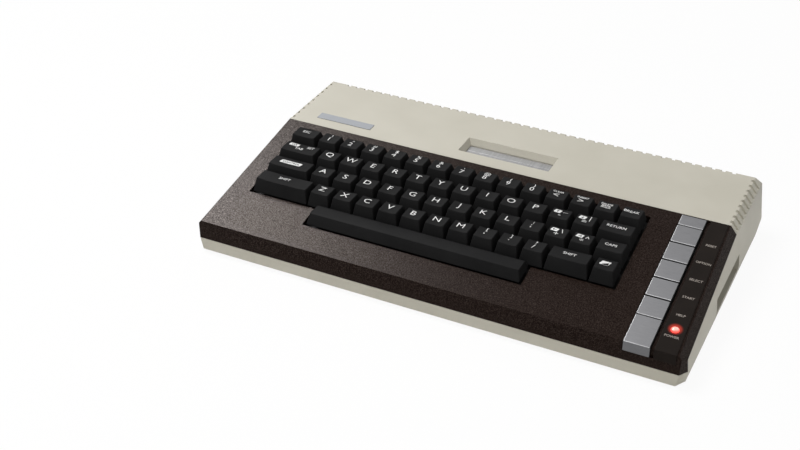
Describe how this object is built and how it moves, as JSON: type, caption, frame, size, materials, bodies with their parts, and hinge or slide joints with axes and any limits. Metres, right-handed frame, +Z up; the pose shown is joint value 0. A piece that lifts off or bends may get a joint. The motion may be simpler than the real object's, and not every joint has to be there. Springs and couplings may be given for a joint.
{
  "type": "home computer",
  "caption": "Wedge-shaped home computer with a built-in full-travel keyboard, console buttons, sprung cartridge doors, side controller ports and rear sockets.",
  "frame": {"origin": "on the ground under the middle of the case", "axes": "+X to the user's right, +Y to the back, +Z up"},
  "size_m": [0.3814, 0.216, 0.0569],
  "materials": {
    "case_beige": "light stone beige, fine satin moulded texture",
    "bezel_brown": "dark brown, grainy moulded texture with a soft sheen",
    "label_brown": "smooth dark brown with pale printed words",
    "badge_metal": "bare brushed plate",
    "lamp_red": "red lens, lit",
    "console_silver": "brushed silver grey",
    "door_silver": "brushed silver",
    "key_black": "near black, satin, with white printed legends",
    "plate_dark": "black painted steel",
    "inner_black": "plain black",
    "board_green": "solder mask",
    "chip_black": "matt moulded",
    "ribbon_grey": "flat cable",
    "shield_tin": "tinned sheet",
    "connector_steel": "plated",
    "pin_steel": "bright",
    "screw_steel": "zinc",
    "foot_rubber": "matt"
  },
  "bodies": {
    "case": {"bottom_case": "case_beige", "top_case": "case_beige", "keyboard_bezel": "bezel_brown", "label_strip": "label_brown", "badge_plate": "badge_metal", "power_lamp": "lamp_red", "console_trim": "console_silver", "console_frame": "inner_black", "console_switches": "board_green", "keyboard_plate": "plate_dark", "keyboard_circuit": "board_green", "keyboard_ribbon": "ribbon_grey", "main_board": "board_green", "chips": "chip_black", "rf_shield": "shield_tin", "cartridge_connector": "inner_black", "cartridge_guide": "inner_black", "cartridge_door_pins": "pin_steel", "controller_ports": "connector_steel", "peripheral_port": "inner_black", "monitor_socket": "connector_steel", "power_inlet": "connector_steel", "television_jack": "connector_steel", "expansion_cover": "case_beige", "switch_housings": "inner_black", "rubber_feet": "foot_rubber", "case_screws": "screw_steel"},
    "key_escape": {"key_escape": "key_black"},
    "keys_1_to_4": {"keys_1_to_4": "key_black"},
    "keys_5_to_8": {"keys_5_to_8": "key_black"},
    "keys_9_to_insert": {"keys_9_to_insert": "key_black"},
    "key_delete": {"key_delete": "key_black"},
    "key_break": {"key_break": "key_black"},
    "key_tab": {"key_tab": "key_black"},
    "keys_q_to_r": {"keys_q_to_r": "key_black"},
    "keys_t_to_i": {"keys_t_to_i": "key_black"},
    "keys_o_to_equals": {"keys_o_to_equals": "key_black"},
    "key_return": {"key_return": "key_black"},
    "key_control": {"key_control": "key_black"},
    "keys_a_to_f": {"keys_a_to_f": "key_black"},
    "keys_g_to_k": {"keys_g_to_k": "key_black"},
    "keys_l_to_star": {"keys_l_to_star": "key_black"},
    "key_caps": {"key_caps": "key_black"},
    "key_shift_left": {"key_shift_left": "key_black"},
    "keys_z_to_v": {"keys_z_to_v": "key_black"},
    "keys_b_to_m": {"keys_b_to_m": "key_black"},
    "keys_comma_to_slash": {"keys_comma_to_slash": "key_black"},
    "key_shift_right": {"key_shift_right": "key_black"},
    "key_inverse": {"key_inverse": "key_black"},
    "key_space": {"key_space": "key_black"},
    "button_reset": {"button_reset": "console_silver"},
    "button_option": {"button_option": "console_silver"},
    "button_select": {"button_select": "console_silver"},
    "button_start": {"button_start": "console_silver"},
    "button_help": {"button_help": "console_silver"},
    "cartridge_door_front": {"cartridge_door_front": "door_silver"},
    "cartridge_door_rear": {"cartridge_door_rear": "door_silver"},
    "power_switch": {"power_switch": "inner_black"},
    "channel_switch": {"channel_switch": "inner_black"}
  },
  "joints": [
    {"name": "escape_press", "type": "slide", "parent": "case", "child": "key_escape", "axis": [0, 0.1777, -0.9841], "range_m": [0, 0.0036], "stiffness_N_per_m": 150, "springref_m": -0.002},
    {"name": "keys_1_to_4_press", "type": "slide", "parent": "case", "child": "keys_1_to_4", "axis": [0, 0.1777, -0.9841], "range_m": [0, 0.0036], "stiffness_N_per_m": 150, "springref_m": -0.002},
    {"name": "keys_5_to_8_press", "type": "slide", "parent": "case", "child": "keys_5_to_8", "axis": [0, 0.1777, -0.9841], "range_m": [0, 0.0036], "stiffness_N_per_m": 150, "springref_m": -0.002},
    {"name": "keys_9_to_insert_press", "type": "slide", "parent": "case", "child": "keys_9_to_insert", "axis": [0, 0.1777, -0.9841], "range_m": [0, 0.0036], "stiffness_N_per_m": 150, "springref_m": -0.002},
    {"name": "delete_press", "type": "slide", "parent": "case", "child": "key_delete", "axis": [0, 0.1777, -0.9841], "range_m": [0, 0.0036], "stiffness_N_per_m": 150, "springref_m": -0.002},
    {"name": "break_press", "type": "slide", "parent": "case", "child": "key_break", "axis": [0, 0.1777, -0.9841], "range_m": [0, 0.0036], "stiffness_N_per_m": 150, "springref_m": -0.002},
    {"name": "tab_press", "type": "slide", "parent": "case", "child": "key_tab", "axis": [0, 0.1777, -0.9841], "range_m": [0, 0.0036], "stiffness_N_per_m": 150, "springref_m": -0.002},
    {"name": "keys_q_to_r_press", "type": "slide", "parent": "case", "child": "keys_q_to_r", "axis": [0, 0.1777, -0.9841], "range_m": [0, 0.0036], "stiffness_N_per_m": 150, "springref_m": -0.002},
    {"name": "keys_t_to_i_press", "type": "slide", "parent": "case", "child": "keys_t_to_i", "axis": [0, 0.1777, -0.9841], "range_m": [0, 0.0036], "stiffness_N_per_m": 150, "springref_m": -0.002},
    {"name": "keys_o_to_equals_press", "type": "slide", "parent": "case", "child": "keys_o_to_equals", "axis": [0, 0.1777, -0.9841], "range_m": [0, 0.0036], "stiffness_N_per_m": 150, "springref_m": -0.002},
    {"name": "return_press", "type": "slide", "parent": "case", "child": "key_return", "axis": [0, 0.1777, -0.9841], "range_m": [0, 0.0036], "stiffness_N_per_m": 150, "springref_m": -0.002},
    {"name": "control_press", "type": "slide", "parent": "case", "child": "key_control", "axis": [0, 0.1777, -0.9841], "range_m": [0, 0.0036], "stiffness_N_per_m": 150, "springref_m": -0.002},
    {"name": "keys_a_to_f_press", "type": "slide", "parent": "case", "child": "keys_a_to_f", "axis": [0, 0.1777, -0.9841], "range_m": [0, 0.0036], "stiffness_N_per_m": 150, "springref_m": -0.002},
    {"name": "keys_g_to_k_press", "type": "slide", "parent": "case", "child": "keys_g_to_k", "axis": [0, 0.1777, -0.9841], "range_m": [0, 0.0036], "stiffness_N_per_m": 150, "springref_m": -0.002},
    {"name": "keys_l_to_star_press", "type": "slide", "parent": "case", "child": "keys_l_to_star", "axis": [0, 0.1777, -0.9841], "range_m": [0, 0.0036], "stiffness_N_per_m": 150, "springref_m": -0.002},
    {"name": "caps_press", "type": "slide", "parent": "case", "child": "key_caps", "axis": [0, 0.1777, -0.9841], "range_m": [0, 0.0036], "stiffness_N_per_m": 150, "springref_m": -0.002},
    {"name": "shift_left_press", "type": "slide", "parent": "case", "child": "key_shift_left", "axis": [0, 0.1777, -0.9841], "range_m": [0, 0.0036], "stiffness_N_per_m": 150, "springref_m": -0.002},
    {"name": "keys_z_to_v_press", "type": "slide", "parent": "case", "child": "keys_z_to_v", "axis": [0, 0.1777, -0.9841], "range_m": [0, 0.0036], "stiffness_N_per_m": 150, "springref_m": -0.002},
    {"name": "keys_b_to_m_press", "type": "slide", "parent": "case", "child": "keys_b_to_m", "axis": [0, 0.1777, -0.9841], "range_m": [0, 0.0036], "stiffness_N_per_m": 150, "springref_m": -0.002},
    {"name": "keys_comma_to_slash_press", "type": "slide", "parent": "case", "child": "keys_comma_to_slash", "axis": [0, 0.1777, -0.9841], "range_m": [0, 0.0036], "stiffness_N_per_m": 150, "springref_m": -0.002},
    {"name": "shift_right_press", "type": "slide", "parent": "case", "child": "key_shift_right", "axis": [0, 0.1777, -0.9841], "range_m": [0, 0.0036], "stiffness_N_per_m": 150, "springref_m": -0.002},
    {"name": "inverse_press", "type": "slide", "parent": "case", "child": "key_inverse", "axis": [0, 0.1777, -0.9841], "range_m": [0, 0.0036], "stiffness_N_per_m": 150, "springref_m": -0.002},
    {"name": "space_press", "type": "slide", "parent": "case", "child": "key_space", "axis": [0, 0.1777, -0.9841], "range_m": [0, 0.0036], "stiffness_N_per_m": 150, "springref_m": -0.002},
    {"name": "reset_press", "type": "slide", "parent": "case", "child": "button_reset", "axis": [0, 0.1777, -0.9841], "range_m": [0, 0.0015], "stiffness_N_per_m": 250, "springref_m": -0.001},
    {"name": "option_press", "type": "slide", "parent": "case", "child": "button_option", "axis": [0, 0.1777, -0.9841], "range_m": [0, 0.0015], "stiffness_N_per_m": 250, "springref_m": -0.001},
    {"name": "select_press", "type": "slide", "parent": "case", "child": "button_select", "axis": [0, 0.1777, -0.9841], "range_m": [0, 0.0015], "stiffness_N_per_m": 250, "springref_m": -0.001},
    {"name": "start_press", "type": "slide", "parent": "case", "child": "button_start", "axis": [0, 0.1777, -0.9841], "range_m": [0, 0.0015], "stiffness_N_per_m": 250, "springref_m": -0.001},
    {"name": "help_press", "type": "slide", "parent": "case", "child": "button_help", "axis": [0, 0.1777, -0.9841], "range_m": [0, 0.0015], "stiffness_N_per_m": 250, "springref_m": -0.001},
    {"name": "front_door_hinge", "type": "hinge", "parent": "case", "child": "cartridge_door_front", "pos_m": [0, 0.0425, 0.0455], "axis": [-1, 0, 0], "range_deg": [0, 80], "stiffness_Nm_per_rad": 0.0004, "springref_deg": -28.65},
    {"name": "rear_door_hinge", "type": "hinge", "parent": "case", "child": "cartridge_door_rear", "pos_m": [0, 0.0563, 0.0455], "axis": [1, 0, 0], "range_deg": [0, 80], "stiffness_Nm_per_rad": 0.0004, "springref_deg": -28.65},
    {"name": "power_switch_rock", "type": "hinge", "parent": "case", "child": "power_switch", "pos_m": [0.15, 0.10177, 0.0203], "axis": [0, 0, 1], "range_deg": [0, 16]},
    {"name": "channel_slide", "type": "slide", "parent": "case", "child": "channel_switch", "axis": [1, 0, 0], "range_m": [0, 0.003]}
  ]
}
